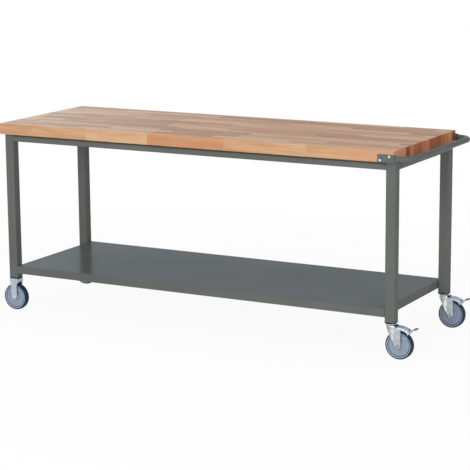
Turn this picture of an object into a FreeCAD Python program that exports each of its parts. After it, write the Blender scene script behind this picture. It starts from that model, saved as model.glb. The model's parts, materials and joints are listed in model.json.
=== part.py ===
import FreeCAD, Part
import math
import os
import re
import Sketcher

# Mobile workbench: beech worktop, welded tube frame with a sheet-steel shelf, two fixed casters at the left
# end, two braked swivel casters and a push handle at the right end.
# +X runs along the bench towards the handle, +Y to the rear, +Z up. The origin is on the floor, under the
# middle of the bench's overall box.

doc = FreeCAD.newDocument("MobileWorkbench")
dims = doc.addObject("Spreadsheet::Sheet", "Dims")

# Driving dimensions, in millimetres and degrees
sizes = {
    "worktop_length": 2000, "worktop_width": 700, "worktop_thickness": 50, "worktop_height": 900,
    "worktop_edge": 2,
    "frame_length": 1988, "frame_depth": 650, "overhang_left": 12, "overhang_front": 25,
    "leg_size": 45, "leg_wall": 2, "leg_corner": 4,
    "rail_height": 35, "rail_flange": 35, "rail_wall": 3,
    "shelf_height": 218, "shelf_lip": 37, "shelf_sheet": 2, "shelf_hem": 14, "shelf_bend": 3,
    "channel_width": 90, "channel_foot": 20, "channel_height": 25, "channel_end_gap": 40,
    "handle_tube": 25, "handle_reach": 77, "handle_bend": 66, "handle_drop": 32,
    "handle_plate": 71, "plate_height": 34, "plate_thickness": 5, "plate_run": 2,
    "handle_screw_first": 18, "handle_screw_second": 60, "handle_screw_rise": 8, "handle_screw_depth": 45,
    "plug_flange": 5, "plug_depth": 26, "plug_slack": 0.2,
    "caster_height": 155, "wheel_diameter": 125, "wheel_width": 32, "tyre_shoulder": 6,
    "core_radius": 55.5, "ring_radius": 52, "groove_radius": 49, "face_radius": 47, "dish_radius": 30,
    "hub_radius": 15, "hub_length": 40, "core_width": 29, "face_width": 25, "groove_width": 20,
    "dish_width": 21, "bush_radius": 9, "axle_radius": 5, "axle_head": 7.5, "axle_head_height": 3,
    "nut_flats": 16, "nut_height": 6, "running_gap": 0.05, "side_gap": 0.3,
    "fork_sheet": 3, "fork_bend": 5,
    "fixed_arm": 32, "fixed_head": 44, "fixed_toe": 11, "fixed_skirt": 17,
    "swivel_offset": 40, "crown_height": 148, "arm_rear": 12, "arm_toe": 18.8, "arm_shoulder": 130,
    "arm_front_height": 139, "crown_rear": 21, "crown_slope": 34, "crown_slope_height": 139, "crown_bend": 4,
    "race_radius": 14.5, "race_rim": 22, "race_edge": 2, "race_gap": 1.5, "ball_radius": 2.5, "ball_count": 8,
    "ball_height": 149,
    "bolt_radius": 6, "bolt_flats": 19, "bolt_head": 8, "bolt_slack": 0.1, "bolt_nut_height": 10,
    "cover_crown": 83, "cover_rim": 70, "cover_round": 9, "cover_wall": 2, "cover_start": 49,
    "cover_sweep": 47, "cover_notch": 11, "cover_notch_width": 34,
    "pivot_radius": 74, "pivot_angle": 54, "pedal_width": 30, "pedal_boss": 6.5, "pedal_heel": 11.3,
    "pedal_sheet": 3, "pedal_reach": 120, "pedal_tip_height": 143, "pin_radius": 3, "pin_head": 4.5,
    "pin_head_height": 1.8, "pad_length": 14, "pad_thickness": 3.5,
    "wood_screw_radius": 3, "wood_screw_head": 6, "wood_screw_head_height": 4, "wood_screw_length": 33,
    "wood_screw_inset": 20, "wood_screw_near": 330, "wood_screw_far": 830, "wood_screw_end": 170,
    "shelf_screw_radius": 4, "shelf_screw_head": 7, "shelf_screw_head_height": 5, "shelf_screw_length": 14,
    "shelf_screw_pitch": 20,
    "handle_screw_radius": 4, "handle_screw_head": 6.5, "handle_screw_head_height": 4,
}
for row, (name, number) in enumerate(sizes.items(), 1):
    dims.set(f"A{row}", name)
    dims.set(f"B{row}", str(number))
    dims.setAlias(f"B{row}", name)
doc.recompute()

parts = []


def formula(text):
    """Gives the alias names in a formula their sheet's name."""
    return re.sub(r"[a-z]\w+", lambda word: f"Dims.{word[0]}" if word[0] in sizes else word[0], str(text))


def value(text):
    return float(dims.evalExpression(formula(text)))


def bind(thing, setting, text):
    thing.setExpression(setting, formula(text))


def new_body(label):
    body = doc.addObject("PartDesign::Body", label)
    body.Label = label
    return body


def keep(thing, x=0, y=0, z=0, axis=(0, 0, 1), turn=0):
    """Places a finished sub-part and puts it on the list of those that are written."""
    thing.Placement = FreeCAD.Placement(FreeCAD.Vector(), FreeCAD.Rotation(FreeCAD.Vector(*axis), turn))
    for setting, text in (("x", x), ("y", y), ("z", z)):
        bind(thing, f"Placement.Base.{setting}", text)
    parts.append(thing)


def new_sketch(body, plane):
    sketch = body.newObject("Sketcher::SketchObject", "Sketch")
    support = [feature for feature in body.Origin.OriginFeatures if feature.Role == plane]
    sketch.AttachmentSupport = [(support[0], "")]
    sketch.MapMode = "FlatFace"
    return sketch


def fix_point(sketch, geometry, point, x, y):
    for kind, text in (("DistanceX", x), ("DistanceY", y)):
        constraint = Sketcher.Constraint(kind, -1, 1, geometry, point, value(text))
        bind(sketch, f"Constraints[{sketch.addConstraint(constraint)}]", text)


def draw_outline(sketch, corners):
    """Draws a closed outline whose corners are pairs of formulas."""
    first = sketch.GeometryCount
    points = [FreeCAD.Vector(value(x), value(y), 0) for x, y in corners]
    count = len(points)
    for i in range(count):
        sketch.addGeometry(Part.LineSegment(points[i], points[(i + 1) % count]))
    for i in range(count):
        following = first + (i + 1) % count
        sketch.addConstraint(Sketcher.Constraint("Coincident", first + i, 2, following, 1))
        fix_point(sketch, first + i, 1, *corners[i])


def draw_box(sketch, low_x, low_y, high_x, high_y):
    draw_outline(sketch, [(low_x, low_y), (high_x, low_y), (high_x, high_y), (low_x, high_y)])


def draw_circle(sketch, x, y, radius):
    circle = Part.Circle(FreeCAD.Vector(value(x), value(y), 0), FreeCAD.Vector(0, 0, 1), value(radius))
    geometry = sketch.addGeometry(circle)
    fix_point(sketch, geometry, 3, x, y)
    constraint = Sketcher.Constraint("Radius", geometry, value(radius))
    bind(sketch, f"Constraints[{sketch.addConstraint(constraint)}]", radius)


def draw_hexagon(sketch, flats):
    corners = [math.radians(60 * i) for i in range(6)]
    long_radius = f"({flats}) / sqrt(3)"
    draw_outline(sketch, [(f"{long_radius} * {math.cos(a):.6f}", f"{long_radius} * {math.sin(a):.6f}")
                          for a in corners])


def pad(body, sketch, length, symmetric=False, reverse=False):
    feature = body.newObject("PartDesign::Pad", "Pad")
    feature.Profile = sketch
    bind(feature, "Length", length)
    feature.SideType = "Symmetric" if symmetric else "One side"
    feature.Reversed = reverse
    doc.recompute()


def cut(body, sketch, length=None, symmetric=False, reverse=False):
    """Cuts a sketch out of the body, right through where no length is given."""
    volume = body.Shape.Volume
    feature = body.newObject("PartDesign::Pocket", "Pocket")
    feature.Profile = sketch
    if length is None:
        feature.Type = "ThroughAll"
    else:
        bind(feature, "Length", length)
    feature.SideType = "Symmetric" if symmetric else "One side"
    feature.Reversed = reverse
    doc.recompute()
    if body.Shape.Volume > volume - 1e-3:
        raise RuntimeError(f"{body.Label}: a cut removes nothing")


def revolve(body, sketch, kind="Revolution", angle=360, reverse=False):
    feature = body.newObject(f"PartDesign::{kind}", kind)
    feature.Profile = sketch
    feature.ReferenceAxis = (sketch, ["V_Axis"])
    bind(feature, "Angle", angle)
    feature.Reversed = reverse
    doc.recompute()


def round_edges(body, radius, chosen):
    """Rounds the edges that a test picks."""
    base = body.Tip
    names = [f"Edge{i}" for i, edge in enumerate(base.Shape.Edges, 1) if chosen(edge)]
    feature = body.newObject("PartDesign::Fillet", "Fillet")
    feature.Base = (base, names)
    bind(feature, "Radius", radius)
    doc.recompute()


def runs_along(edge, direction):
    return (edge.Curve.TypeId == "Part::GeomLine"
            and abs(edge.Curve.Direction.dot(FreeCAD.Vector(*direction))) > 0.999)


def middle(edge):
    return edge.BoundBox.Center


def at_height(edge, text):
    return edge.BoundBox.ZLength < 0.01 and abs(middle(edge).z - value(text)) < 0.01


def group(label, pattern, places):
    """Copies a pattern piece to each place: x, y, z formulas and a turn about an axis."""
    solids = []
    for x, y, z, axis, turn in places:
        spot = FreeCAD.Vector(value(x), value(y), value(z))
        copy = pattern.Shape.copy()
        copy.Placement = FreeCAD.Placement(spot, FreeCAD.Rotation(FreeCAD.Vector(*axis), turn))
        solids.append(copy)
    thing = doc.addObject("Part::Feature", label)
    thing.Label = label
    thing.Shape = Part.makeCompound(solids)
    parts.append(thing)


# Places that several pieces share
box_left = "(overhang_left + leg_size / 2 - wheel_diameter / 2)"
box_right = "(overhang_left + frame_length - leg_size / 2 + pedal_reach)"
left_end = f"(-({box_left} + {box_right}) / 2)"
right_end = f"({left_end} + worktop_length)"
left_leg = f"({left_end} + overhang_left + leg_size / 2)"
right_leg = f"({left_end} + overhang_left + frame_length - leg_size / 2)"
front_leg = "(overhang_front + leg_size / 2 - worktop_width / 2)"
rear_leg = "(overhang_front + frame_depth - leg_size / 2 - worktop_width / 2)"
frame_middle_x = f"({left_end} + overhang_left + frame_length / 2)"
frame_middle_y = "(overhang_front + frame_depth / 2 - worktop_width / 2)"
frame_top = "(worktop_height - worktop_thickness)"
leg_foot = "(caster_height + plug_flange)"
shelf_length = "(frame_length - 2 * leg_size)"
shelf_screw_height = "(shelf_height - shelf_lip / 2)"
handle_height = "(worktop_height - handle_drop)"
axle_height = "(wheel_diameter / 2)"
fork_inside = "(hub_length / 2 + side_gap)"
fork_outside = f"({fork_inside} + fork_sheet)"
corners = {
    "front_left": (left_leg, front_leg), "rear_left": (left_leg, rear_leg),
    "front_right": (right_leg, front_leg), "rear_right": (right_leg, rear_leg),
}


def worktop_screw_places():
    """Gives the screws that come up through the rails' flanges, measured from the frame's middle."""
    across = "(frame_depth / 2 - wood_screw_inset)"
    along = "(frame_length / 2 - wood_screw_inset)"
    places = [(f"{side} * {step}", f"{rail} * {across}") for rail in (-1, 1)
              for step in ("wood_screw_near", "wood_screw_far") for side in (-1, 1)]
    return places + [(f"{rail} * {along}", f"{side} * wood_screw_end") for rail in (-1, 1) for side in (-1, 1)]


def handle_screw_places():
    """Gives each end's two screws, set diagonally: distance in from the worktop's end, and height."""
    return [("handle_screw_first", f"({handle_height} + handle_screw_rise)"),
            ("handle_screw_second", f"({handle_height} - handle_screw_rise)")]


def make_worktop():
    body = new_body("worktop")
    sketch = new_sketch(body, "XY_Plane")
    draw_box(sketch, "-worktop_length / 2", "-worktop_width / 2", "worktop_length / 2", "worktop_width / 2")
    pad(body, sketch, "worktop_thickness")
    round_edges(body, "worktop_edge", lambda edge: True)
    holes = new_sketch(body, "XY_Plane")
    shift = f"({frame_middle_x} - {left_end} - worktop_length / 2)"
    for x, y in worktop_screw_places():
        draw_circle(holes, f"{shift} + {x}", f"{frame_middle_y} + {y}", "wood_screw_radius + running_gap")
    cut(body, holes, "wood_screw_length - rail_wall + 1", reverse=True)
    for front in (True, False):
        holes = new_sketch(body, "XZ_Plane")
        bind(holes, "AttachmentOffset.Base.z", "worktop_width / 2" if front else "-worktop_width / 2")
        for inward, height in handle_screw_places():
            draw_circle(holes, f"worktop_length / 2 - {inward}", f"{height} - {frame_top}",
                        "handle_screw_radius + running_gap")
        cut(body, holes, "handle_screw_depth - plate_thickness + 1", reverse=not front)
    keep(body, f"{left_end} + worktop_length / 2", 0, frame_top)


def make_leg(corner, x, y):
    body = new_body(f"{corner}_leg")
    sketch = new_sketch(body, "XY_Plane")
    draw_box(sketch, "-leg_size / 2", "-leg_size / 2", "leg_size / 2", "leg_size / 2")
    pad(body, sketch, f"{frame_top} - {leg_foot}")
    round_edges(body, "leg_corner", lambda edge: runs_along(edge, (0, 0, 1)))
    inside = new_sketch(body, "XY_Plane")
    half = "(leg_size / 2 - leg_wall)"
    draw_box(inside, f"-{half}", f"-{half}", half, half)
    cut(body, inside, reverse=True)
    round_edges(body, "leg_corner - leg_wall", lambda edge: runs_along(edge, (0, 0, 1))
                and abs(abs(middle(edge).x) - value(half)) < 0.01
                and abs(abs(middle(edge).y) - value(half)) < 0.01)
    holes = new_sketch(body, "YZ_Plane")
    for side in (-1, 1):
        draw_circle(holes, f"{side} * shelf_screw_pitch / 2", f"{shelf_screw_height} - {leg_foot}",
                    "shelf_screw_radius + running_gap")
    cut(body, holes, reverse=x == left_leg)
    keep(body, x, y, leg_foot)


def make_rail(label, length, screws, x, y, turn):
    """Angle rail: its upright flange outside, its level flange under the worktop with the screw holes."""
    body = new_body(label)
    sketch = new_sketch(body, "YZ_Plane")
    draw_outline(sketch, [(0, "-rail_height"), ("rail_wall", "-rail_height"), ("rail_wall", "-rail_wall"),
                          ("rail_flange", "-rail_wall"), ("rail_flange", 0), (0, 0)])
    pad(body, sketch, length, symmetric=True)
    holes = new_sketch(body, "XY_Plane")
    for along in screws:
        draw_circle(holes, along, "wood_screw_inset", "wood_screw_radius + running_gap")
    cut(body, holes)
    keep(body, x, y, frame_top, turn=turn)


def make_rails():
    long_screws = [f"{side} * {step}" for step in ("wood_screw_near", "wood_screw_far") for side in (-1, 1)]
    short_screws = ["-wood_screw_end", "wood_screw_end"]
    long_rail = "frame_length - 2 * leg_size"
    short_rail = "frame_depth - 2 * leg_size"
    half_length, half_depth = "frame_length / 2", "frame_depth / 2"
    make_rail("front_rail", long_rail, long_screws, frame_middle_x, f"{frame_middle_y} - {half_depth}", 0)
    make_rail("rear_rail", long_rail, long_screws, frame_middle_x, f"{frame_middle_y} + {half_depth}", 180)
    make_rail("right_rail", short_rail, short_screws, f"{frame_middle_x} + {half_length}", frame_middle_y, 90)
    make_rail("left_rail", short_rail, short_screws, f"{frame_middle_x} - {half_length}", frame_middle_y, -90)


def make_shelf():
    """Folded pan between the leg pairs: deck, four lips, and hems under the two long lips."""
    body = new_body("lower_shelf")
    sketch = new_sketch(body, "XY_Plane")
    draw_box(sketch, f"-{shelf_length} / 2", "-frame_depth / 2", f"{shelf_length} / 2", "frame_depth / 2")
    pad(body, sketch, "shelf_lip", reverse=True)
    round_edges(body, "shelf_bend", lambda edge: at_height(edge, 0))
    hollow = new_sketch(body, "YZ_Plane")
    wide, narrow = "(frame_depth / 2 - shelf_sheet)", "(frame_depth / 2 - shelf_hem)"
    draw_outline(hollow, [(f"-{wide}", "-shelf_sheet"), (f"-{wide}", "shelf_sheet - shelf_lip"),
                          (f"-{narrow}", "shelf_sheet - shelf_lip"), (f"-{narrow}", "-shelf_lip - 1"),
                          (narrow, "-shelf_lip - 1"), (narrow, "shelf_sheet - shelf_lip"),
                          (wide, "shelf_sheet - shelf_lip"), (wide, "-shelf_sheet")])
    cut(body, hollow, f"{shelf_length} - 2 * shelf_sheet", symmetric=True)
    holes = new_sketch(body, "YZ_Plane")
    for side in (-1, 1):
        for step in (-1, 1):
            draw_circle(holes, f"{side} * (frame_depth - leg_size) / 2 + {step} * shelf_screw_pitch / 2",
                        "-shelf_lip / 2", "shelf_screw_radius + running_gap")
    cut(body, holes, symmetric=True)
    keep(body, frame_middle_x, frame_middle_y, "shelf_height")


def make_channel():
    """Hat-section channel spot-welded along the middle of the shelf's underside."""
    body = new_body("shelf_channel")
    sketch = new_sketch(body, "YZ_Plane")
    web, foot = "(channel_width / 2)", "(channel_width / 2 + channel_foot)"
    sheet = "shelf_sheet"
    draw_outline(sketch, [
        (f"-{foot}", 0), (f"-{foot}", f"-{sheet}"), (f"-{web}", f"-{sheet}"), (f"-{web}", "-channel_height"),
        (web, "-channel_height"), (web, f"-{sheet}"), (foot, f"-{sheet}"), (foot, 0),
        (f"{web} - {sheet}", 0), (f"{web} - {sheet}", f"{sheet} - channel_height"),
        (f"{sheet} - {web}", f"{sheet} - channel_height"), (f"{sheet} - {web}", 0)])
    pad(body, sketch, f"{shelf_length} - 2 * channel_end_gap", symmetric=True)
    keep(body, frame_middle_x, frame_middle_y, "shelf_height - shelf_sheet")


def make_handle():
    """Bent tube whose two ends are flattened to plates against the worktop's long edges."""
    radius = value("handle_tube / 2")
    tall, thick = value("plate_height / 2"), value("plate_thickness / 2")
    height, bend = value(handle_height), value("handle_bend")
    across = value("worktop_width / 2 + plate_thickness / 2")
    end, run = value(right_end), value("plate_run")
    bar = end + value("handle_reach")
    bend_start = bar - bend
    flat = FreeCAD.Vector(end + run, -across, height)
    corner_point = FreeCAD.Vector(bend_start, -across, height)

    def section(centre, half_y, half_z, lean):
        """Four edges: two sides and two rounded ends; lean is how far the sides bow out."""
        side = half_z - half_y if lean == 0 else half_z * math.sin(math.pi / 4)
        edge_y = half_y if lean == 0 else half_y * math.cos(math.pi / 4)

        def point(y, z):
            return centre + FreeCAD.Vector(0, y, z)

        ends = [point(edge_y, -side), point(edge_y, side), point(-edge_y, side), point(-edge_y, -side)]
        if lean:
            right = Part.Arc(ends[0], point(half_y, 0), ends[1])
            left = Part.Arc(ends[2], point(-half_y, 0), ends[3])
        else:
            right = Part.LineSegment(ends[0], ends[1])
            left = Part.LineSegment(ends[2], ends[3])
        top = Part.Arc(ends[1], point(0, half_z), ends[2])
        bottom = Part.Arc(ends[3], point(0, -half_z), ends[0])
        return Part.Wire([right.toShape(), top.toShape(), left.toShape(), bottom.toShape()])

    plate = Part.makeBox(value("handle_plate") + run, 2 * thick, 2 * tall,
                         FreeCAD.Vector(end - value("handle_plate"), -across - thick, height - tall))
    for inward, screw_height in handle_screw_places():
        spot = FreeCAD.Vector(end - value(inward), -across - 2 * thick, value(screw_height))
        hole = Part.makeCylinder(value("handle_screw_radius + running_gap"), 4 * thick, spot,
                                 FreeCAD.Vector(0, 1, 0))
        plate = plate.cut(hole)
    neck = Part.makeLoft([section(flat, thick, tall, 0), section(corner_point, radius, radius, 1)], True)

    turn = FreeCAD.Vector(bar, bend - across, height)
    centre = FreeCAD.Vector(bend_start, bend - across, height)
    halfway = centre + FreeCAD.Vector(1, -1, 0) * (bend / math.sqrt(2))
    mirror = FreeCAD.Vector(1, -1, 1)

    def flip(point):
        return FreeCAD.Vector(point.x * mirror.x, point.y * mirror.y, point.z * mirror.z)

    path = Part.Wire([
        Part.Arc(corner_point, halfway, turn).toShape(),
        Part.LineSegment(turn, flip(turn)).toShape(),
        Part.Arc(flip(turn), flip(halfway), flip(corner_point)).toShape()])
    tube = path.makePipeShell([section(corner_point, radius, radius, 1)], True, False)
    end_pieces = plate.fuse(neck)
    shape = tube.fuse([end_pieces, end_pieces.mirror(FreeCAD.Vector(), FreeCAD.Vector(0, 1, 0))])
    thing = doc.addObject("Part::Feature", "push_handle")
    thing.Label = "push_handle"
    thing.Shape = shape.removeSplitter()
    parts.append(thing)


def screw_pattern(label, radius, length, head, head_height):
    """Screw along +Z: its head below zero, rounded at the outside, its shank above."""
    body = new_body(label)
    sketch = new_sketch(body, "XZ_Plane")
    draw_outline(sketch, [(0, length), (radius, length), (radius, 0), (head, 0), (head, f"-{head_height} / 2"),
                          (f"{head} * 0.6", f"-{head_height}"), (0, f"-{head_height}")])
    revolve(body, sketch)
    return body


def make_screws():
    up, forward, sideways = (0, 0, 1), (1, 0, 0), (0, 1, 0)
    pattern = screw_pattern("worktop_screw_pattern", "wood_screw_radius", "wood_screw_length",
                            "wood_screw_head", "wood_screw_head_height")
    group("worktop_screws", pattern, [
        (f"{frame_middle_x} + {x}", f"{frame_middle_y} + {y}", f"{frame_top} - rail_wall", up, 0)
        for x, y in worktop_screw_places()])
    pattern = screw_pattern("shelf_screw_pattern", "shelf_screw_radius", "shelf_screw_length",
                            "shelf_screw_head", "shelf_screw_head_height")
    places = []
    for corner, (x, y) in corners.items():
        inward = 1 if corner.endswith("left") else -1
        for step in (-1, 1):
            places.append((f"{x} + {inward} * (leg_size / 2 + shelf_sheet)", f"{y} + {step} * shelf_screw_pitch / 2",
                           shelf_screw_height, sideways, -90 * inward))
    group("shelf_screws", pattern, places)
    pattern = screw_pattern("handle_screw_pattern", "handle_screw_radius", "handle_screw_depth",
                            "handle_screw_head", "handle_screw_head_height")
    group("handle_screws", pattern, [
        (f"{right_end} - {inward}", f"{side} * (worktop_width / 2 + plate_thickness)", height, forward, 90 * side)
        for side in (-1, 1) for inward, height in handle_screw_places()])


def make_plug(corner, x, y):
    """Plastic plug: a flange under the leg and an insert inside it, bored for the caster's bolt."""
    body = new_body(f"{corner}_plug")
    sketch = new_sketch(body, "XY_Plane")
    draw_box(sketch, "-leg_size / 2", "-leg_size / 2", "leg_size / 2", "leg_size / 2")
    pad(body, sketch, "plug_flange")
    round_edges(body, "leg_corner", lambda edge: runs_along(edge, (0, 0, 1)))
    insert = new_sketch(body, "XY_Plane")
    half = "(leg_size / 2 - leg_wall - plug_slack)"
    draw_box(insert, f"-{half}", f"-{half}", half, half)
    pad(body, insert, "plug_flange + plug_depth")
    round_edges(body, "leg_corner - leg_wall", lambda edge: runs_along(edge, (0, 0, 1))
                and middle(edge).z > value("plug_flange"))
    bore = new_sketch(body, "XY_Plane")
    draw_circle(bore, 0, 0, "bolt_radius + bolt_slack")
    cut(body, bore, reverse=True)
    keep(body, x, y, "caster_height")


def bolt_pattern(label, clamp):
    """Hexagon bolt along +Z: head below zero; clamp is the height of what it holds under the leg's plug."""
    body = new_body(label)
    head = new_sketch(body, "XY_Plane")
    draw_hexagon(head, "bolt_flats")
    pad(body, head, "bolt_head", reverse=True)
    shank = new_sketch(body, "XY_Plane")
    draw_circle(shank, 0, 0, "bolt_radius")
    pad(body, shank, f"{clamp} + plug_flange + plug_depth + 1.5 * bolt_nut_height")
    return body


def make_caster_bolts():
    up = (0, 0, 1)
    nut = new_body("bolt_nut_pattern")
    sketch = new_sketch(nut, "XY_Plane")
    draw_hexagon(sketch, "bolt_flats")
    draw_circle(sketch, 0, 0, "bolt_radius + running_gap")
    pad(nut, sketch, "bolt_nut_height")
    group("caster_bolt_nuts", nut, [(x, y, f"{leg_foot} + plug_depth", up, 0) for x, y in corners.values()])
    heads = {"fixed": "(caster_height - fork_sheet)", "swivel": "(crown_height - fork_sheet - side_gap)"}
    for kind, end in (("fixed", "left"), ("swivel", "right")):
        bolt = bolt_pattern(f"{kind}_bolt_pattern", f"(caster_height - {heads[kind]})")
        group(f"{kind}_caster_bolts", bolt, [(x, y, heads[kind], up, 0)
                                             for corner, (x, y) in corners.items() if corner.endswith(end)])


def make_wheel(corner, x, y):
    """Tyre, core and bush, turned about the axle along Y: sketch x is the radius, sketch y the width."""
    tyre = new_body(f"{corner}_tyre")
    sketch = new_sketch(tyre, "XY_Plane")
    near = [("core_radius", "-wheel_width / 2")]
    for lean in (0, 30, 60, 90):
        near.append((f"wheel_diameter / 2 - tyre_shoulder * (1 - sin({lean}))",
                     f"tyre_shoulder * (1 - cos({lean})) - wheel_width / 2"))
    draw_outline(sketch, near + [(radius, f"-({width})") for radius, width in reversed(near)])
    revolve(tyre, sketch)
    keep(tyre, x, y, axle_height)

    core = new_body(f"{corner}_wheel_core")
    sketch = new_sketch(core, "XY_Plane")
    steps = [("bush_radius", "hub_length"), ("hub_radius - 1", "hub_length"), ("hub_radius + 1", "dish_width"),
             ("dish_radius", "dish_width"), ("dish_radius + 1", "face_width"), ("face_radius", "face_width"),
             ("groove_radius", "groove_width"), ("ring_radius - 1", "groove_width"), ("ring_radius", "core_width"),
             ("core_radius", "core_width")]
    near = [(radius, f"-{width} / 2") for radius, width in steps]
    far = [(radius, f"{width} / 2") for radius, width in reversed(steps)]
    draw_outline(sketch, near + far)
    revolve(core, sketch)
    keep(core, x, y, axle_height)

    bush = new_body(f"{corner}_wheel_bush")
    sketch = new_sketch(bush, "XY_Plane")
    draw_box(sketch, "axle_radius + running_gap", "-hub_length / 2", "bush_radius", "hub_length / 2")
    revolve(bush, sketch)
    keep(bush, x, y, axle_height)


def make_axle(corner, x, y):
    """Axle with a low round head outside the bench and a nut at its inner end."""
    turn = 0 if corner.startswith("front") else 180
    axle = new_body(f"{corner}_axle")
    sketch = new_sketch(axle, "XY_Plane")
    head_end = f"-({fork_outside} + axle_head_height)"
    thread_end = f"({fork_outside} + nut_height + 1.5)"
    draw_outline(sketch, [(0, head_end), ("axle_head * 0.6", head_end), ("axle_head", f"-{fork_outside} - 1"),
                          ("axle_head", f"-{fork_outside}"), ("axle_radius", f"-{fork_outside}"),
                          ("axle_radius", thread_end), (0, thread_end)])
    revolve(axle, sketch)
    keep(axle, x, y, axle_height, turn=turn)
    nut = new_body(f"{corner}_axle_nut")
    sketch = new_sketch(nut, "XZ_Plane")
    bind(sketch, "AttachmentOffset.Base.z", f"-{fork_outside}")
    draw_hexagon(sketch, "nut_flats")
    draw_circle(sketch, 0, 0, "axle_radius + running_gap")
    pad(nut, sketch, "nut_height", reverse=True)
    keep(nut, x, y, axle_height, turn=turn)


def make_fixed_fork(corner, x, y):
    """Stamped fork, measured from the axle: an arched skirt under the head and two straight round-ended arms."""
    body = new_body(f"{corner}_fork")
    top = f"(caster_height - {axle_height})"
    head, arm = "(fixed_head / 2)", "(fixed_arm / 2)"
    arch = f"({top} - fixed_skirt)"
    side = new_sketch(body, "XZ_Plane")
    draw_outline(side, [(f"-{head}", top), (head, top), (head, f"{arch} + 2"), (arm, f"{arch} - {head}"),
                        (arm, "-fixed_toe"), (f"-{arm}", "-fixed_toe"), (f"-{arm}", f"{arch} - {head}"),
                        (f"-{head}", f"{arch} + 2")])
    pad(body, side, f"2 * {fork_outside}", symmetric=True)
    round_edges(body, "fixed_arm / 2 - 0.5", lambda edge: at_height(edge, "-fixed_toe")
                and runs_along(edge, (0, 1, 0)))
    round_edges(body, "fork_bend", lambda edge: at_height(edge, top))
    hollow = new_sketch(body, "YZ_Plane")
    draw_box(hollow, f"-{fork_inside}", "-2 * fixed_toe", fork_inside, f"{top} - fork_sheet")
    cut(body, hollow, f"2 * ({head} - fork_sheet)", symmetric=True)
    opening = new_sketch(body, "YZ_Plane")
    slope = f"({fork_inside} * 0.45)"
    draw_outline(opening, [(f"-{fork_inside}", "-2 * fixed_toe"), (fork_inside, "-2 * fixed_toe"),
                           (fork_inside, f"{arch} - {slope}"), (slope, arch), (f"-{slope}", arch),
                           (f"-{fork_inside}", f"{arch} - {slope}")])
    cut(body, opening, symmetric=True)
    holes = new_sketch(body, "XZ_Plane")
    draw_circle(holes, 0, 0, "axle_radius + running_gap")
    cut(body, holes, symmetric=True)
    bore = new_sketch(body, "XY_Plane")
    draw_circle(bore, 0, 0, "bolt_radius + bolt_slack")
    cut(body, bore, reverse=True)
    keep(body, x, y, axle_height)


def make_swivel_fork(corner, x, y):
    """Stamped fork, measured from the floor under the swivel axis: a crown with a round front, two raked arms."""
    body = new_body(f"{corner}_fork")
    rear = "(swivel_offset + arm_rear)"
    ceiling = "(crown_height - fork_sheet)"
    for shape, half, height, make in (("block", fork_outside, "crown_height", pad),
                                      ("hollow", fork_inside, ceiling, cut)):
        if shape == "hollow":
            trim_swivel_fork(body, rear)
        straight = new_sketch(body, "XY_Plane")
        draw_box(straight, 0, f"-{half}", rear if shape == "block" else f"{rear} + 1", half)
        make(body, straight, height, reverse=shape == "hollow")
        front = new_sketch(body, "XY_Plane")
        draw_circle(front, 0, 0, half)
        make(body, front, height, reverse=shape == "hollow")
    track = new_sketch(body, "XZ_Plane")
    draw_ball_track(track, "ball_radius + side_gap / 2", "crown_height + 1", -1)
    revolve(body, track, "Groove")
    hole = new_sketch(body, "XY_Plane")
    draw_circle(hole, 0, 0, "bolt_radius + bolt_slack")
    cut(body, hole, reverse=True)
    holes = new_sketch(body, "XZ_Plane")
    draw_circle(holes, "swivel_offset", axle_height, "axle_radius + running_gap")
    cut(body, holes, symmetric=True)
    keep(body, x, y, 0)


def trim_swivel_fork(body, rear):
    """Cuts the fork's side outline: the raked front edge with its round toe below, the sloping back above."""
    below = new_sketch(body, "XZ_Plane")
    toe, toe_height = f"({rear} - arm_toe)", f"({axle_height} - arm_rear)"
    draw_outline(below, [(f"-2 * {fork_outside}", -1), (f"-2 * {fork_outside}", "arm_front_height"),
                         (f"-{fork_outside}", "arm_front_height"), (toe, toe_height),
                         (f"{rear} + 1", toe_height), (f"{rear} + 1", -1)])
    cut(body, below, symmetric=True)
    above = new_sketch(body, "XZ_Plane")
    draw_outline(above, [("crown_rear", "crown_height + 1"), ("crown_rear", "crown_height"),
                         ("crown_slope", "crown_slope_height"), (rear, "arm_shoulder"),
                         (f"{rear} + 1", "arm_shoulder"), (f"{rear} + 1", "crown_height + 1")])
    cut(body, above, symmetric=True)
    round_edges(body, "arm_rear - 0.1", lambda edge: at_height(edge, toe_height) and runs_along(edge, (0, 1, 0)))
    round_edges(body, "crown_bend", lambda edge: at_height(edge, "crown_height")
                and not runs_along(edge, (0, 1, 0)))


def draw_ball_track(sketch, half, mouth, way):
    """Draws a square-sided track for the balls, from its floor (way -1 below the balls, 1 above) to its mouth."""
    floor = f"ball_height + {way} * ({half})"
    draw_box(sketch, f"race_radius - ({half})", floor, f"race_radius + {half}", mouth)


def make_upper_race(corner, x, y):
    """Disc under the leg's plug, with the upper ball track."""
    race = new_body(f"{corner}_upper_race")
    sketch = new_sketch(race, "XZ_Plane")
    bore = "(bolt_radius + running_gap)"
    under = "(crown_height + race_gap)"
    draw_outline(sketch, [(bore, under), ("race_rim", under), ("race_rim", "caster_height - race_edge"),
                          ("race_rim - race_edge", "caster_height"), (bore, "caster_height")])
    revolve(race, sketch)
    track = new_sketch(race, "XZ_Plane")
    draw_ball_track(track, "ball_radius + running_gap", "crown_height", 1)
    revolve(race, track, "Groove")
    keep(race, x, y, 0)


def make_swivel_balls(corner, x, y):
    ball = doc.addObject("Part::Sphere", f"{corner}_ball_pattern")
    bind(ball, "Radius", "ball_radius")
    doc.recompute()
    turns = [2 * math.pi * step / value("ball_count") for step in range(int(value("ball_count")))]
    group(f"{corner}_swivel_balls", ball, [
        (f"{x} + race_radius * {math.cos(turn):.6f}", f"{y} + race_radius * {math.sin(turn):.6f}",
         "ball_height", (0, 0, 1), 0) for turn in turns])


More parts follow.
